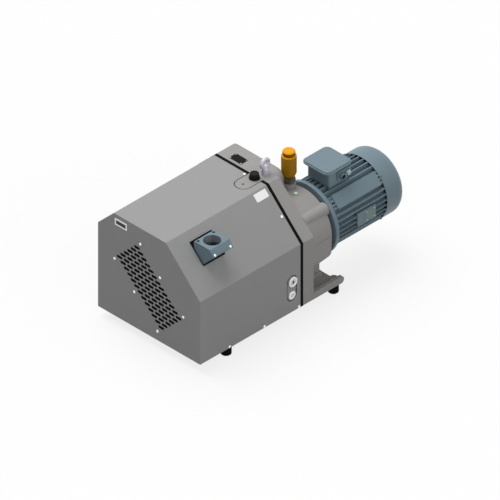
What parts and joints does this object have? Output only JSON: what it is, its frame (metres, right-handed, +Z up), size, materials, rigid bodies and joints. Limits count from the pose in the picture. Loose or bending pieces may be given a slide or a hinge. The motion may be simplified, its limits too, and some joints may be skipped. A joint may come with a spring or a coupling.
{
  "type": "claw vacuum pump",
  "caption": "Dry claw vacuum pump under a slotted sheet-metal hood, with a gear housing, a flanged finned electric motor, an inlet block and a relief valve.",
  "frame": {"origin": "on the floor under the middle of the machine, on the cover's centre plane", "axes": "+X along the shafts from the grille to the motor, +Y to the silencer side, +Z up"},
  "size_m": [0.922, 0.457, 0.479],
  "materials": {
    "cover_paint": "grey powder coat on sheet steel",
    "casting_paint": "grey paint on cast aluminium",
    "base_paint": "grey paint on cast iron",
    "motor_paint": "blue-grey paint on cast aluminium",
    "cowl_paint": "blue-grey paint on sheet steel",
    "pump_iron": "machined grey cast iron",
    "steel": "machined steel",
    "sheet_steel": "galvanised sheet steel",
    "bright_screw": "zinc-plated screw",
    "lifting_steel": "pale zinc-plated forging",
    "plug_metal": "satin aluminium",
    "brass": "brass",
    "winding": "enamelled copper winding",
    "ochre": "ochre lacquer",
    "orange": "orange plastic",
    "black_rubber": "black rubber",
    "black_plastic": "black moulded plastic",
    "gland_plastic": "grey moulded plastic",
    "pale_plastic": "pale green plastic",
    "filter_mat": "black filter mat"
  },
  "bodies": {
    "pump_body": {"acoustic_cover": "cover_paint", "base_frame": "base_paint", "bearing_caps": "steel", "block_screws": "bright_screw", "cable_glands": "gland_plastic", "cover_screws": "bright_screw", "cover_seal": "black_rubber", "cylinder": "pump_iron", "drain_plug": "plug_metal", "eyebolt": "lifting_steel", "fan_cowl": "cowl_paint", "fan_shroud": "sheet_steel", "filter_frame": "sheet_steel", "flange_bolts": "bright_screw", "foot_screws": "bright_screw", "front_plate": "pump_iron", "gear_housing": "casting_paint", "inlet_block": "motor_paint", "inlet_valve_spring": "steel", "intake_filter": "filter_mat", "intermediate_plate": "pump_iron", "lid_screws": "bright_screw", "lifting_post": "lifting_steel", "motor_bearings": "steel", "motor_frame": "motor_paint", "motor_front_shield": "motor_paint", "motor_rear_shield": "motor_paint", "relief_nipple": "brass", "relief_spring": "steel", "relief_valve_body": "ochre", "relief_valve_cap": "orange", "rubber_feet": "black_rubber", "shaft_bearings": "steel", "shaft_seals": "black_rubber", "sight_glass": "plug_metal", "silencer": "sheet_steel", "stator": "steel", "terminal_board": "black_plastic", "terminal_box": "motor_paint", "terminal_lid": "motor_paint", "terminal_studs": "brass", "vent_plug": "pale_plastic", "windings": "winding"},
    "drive_line": {"drive_shaft": "steel", "drive_claw": "pump_iron", "drive_gear": "steel", "cooling_fan": "black_plastic", "pump_coupling_hub": "steel", "coupling_spider": "black_rubber", "motor_coupling_hub": "steel", "motor_shaft": "steel", "rotor": "steel", "motor_fan": "black_plastic"},
    "driven_line": {"driven_shaft": "steel", "driven_claw": "pump_iron", "driven_gear": "steel"},
    "inlet_disc": {"inlet_valve_disc": "plug_metal"},
    "poppet": {"relief_poppet": "brass"},
    "filler_cap": {"oil_filler_cap": "black_plastic"}
  },
  "joints": [
    {"name": "drive_spin", "type": "hinge", "parent": "pump_body", "child": "drive_line", "pos_m": [0, -0.091, 0.221], "axis": [1, 0, 0], "continuous": true},
    {"name": "driven_spin", "type": "hinge", "parent": "pump_body", "child": "driven_line", "pos_m": [0, 0.005, 0.221], "axis": [1, 0, 0], "continuous": true},
    {"name": "inlet_valve_travel", "type": "slide", "parent": "pump_body", "child": "inlet_disc", "axis": [0, 0, -1], "range_m": [0, 0.008], "stiffness_N_per_m": 100, "springref_m": -0.01, "deforming": ["inlet_valve_spring"]},
    {"name": "relief_valve_travel", "type": "slide", "parent": "pump_body", "child": "poppet", "axis": [0, 0, -1], "range_m": [0, 0.004], "stiffness_N_per_m": 800, "springref_m": -0.004, "deforming": ["relief_spring"]},
    {"name": "filler_cap_turn", "type": "hinge", "parent": "pump_body", "child": "filler_cap", "pos_m": [-0.021, -0.021, 0.419], "axis": [0, 0, 1], "range_deg": [0, 360]}
  ],
  "couplings": [
    {"joint": "driven_spin", "follows": "drive_spin", "ratio": -1}
  ]
}
